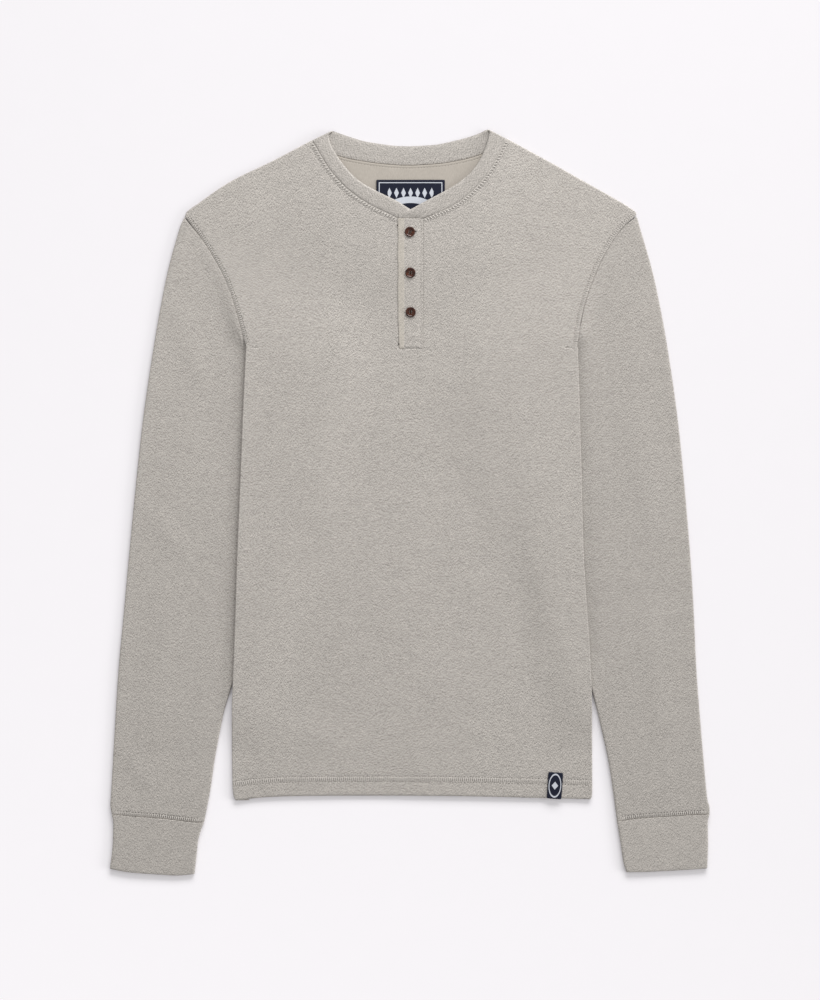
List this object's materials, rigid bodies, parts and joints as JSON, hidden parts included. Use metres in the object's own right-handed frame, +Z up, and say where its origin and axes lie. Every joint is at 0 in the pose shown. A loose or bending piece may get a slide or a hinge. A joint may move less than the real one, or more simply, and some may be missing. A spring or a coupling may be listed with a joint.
{
  "type": "henley shirt",
  "caption": "Long-sleeved henley shirt of oatmeal heather jersey with a round neckband, a buttoned placket and plain cuffs, laid flat on its back with the sleeves down.",
  "frame": {"origin": "centre of the box's underside, on the surface that the shirt lies on", "axes": "+Z up from the surface; +Y from the hem towards the neck; +X towards the wearer's left"},
  "size_m": [0.6299, 0.7845, 0.0094],
  "materials": {
    "jersey": "oatmeal heather knit, matte",
    "cuff_jersey": "oatmeal heather knit, doubled, matte",
    "neckband_jersey": "oatmeal heather knit, doubled, matte",
    "placket_jersey": "oatmeal heather knit, matte",
    "facing_tape": "smooth beige cotton",
    "button": "dark reddish brown resin, polished",
    "label": "dark blue woven label"
  },
  "bodies": {
    "root": {"front": "jersey", "back": "jersey", "sleeve_right": "jersey", "sleeve_left": "jersey", "cuff_right": "cuff_jersey", "cuff_left": "cuff_jersey", "neckband": "neckband_jersey", "neck_facing": "facing_tape", "placket_lower": "placket_jersey", "placket_upper": "placket_jersey", "placket_tape": "facing_tape", "button_top": "button", "button_middle": "button", "button_bottom": "button", "neck_label": "label", "hem_label": "label"}
  },
  "joints": []
}
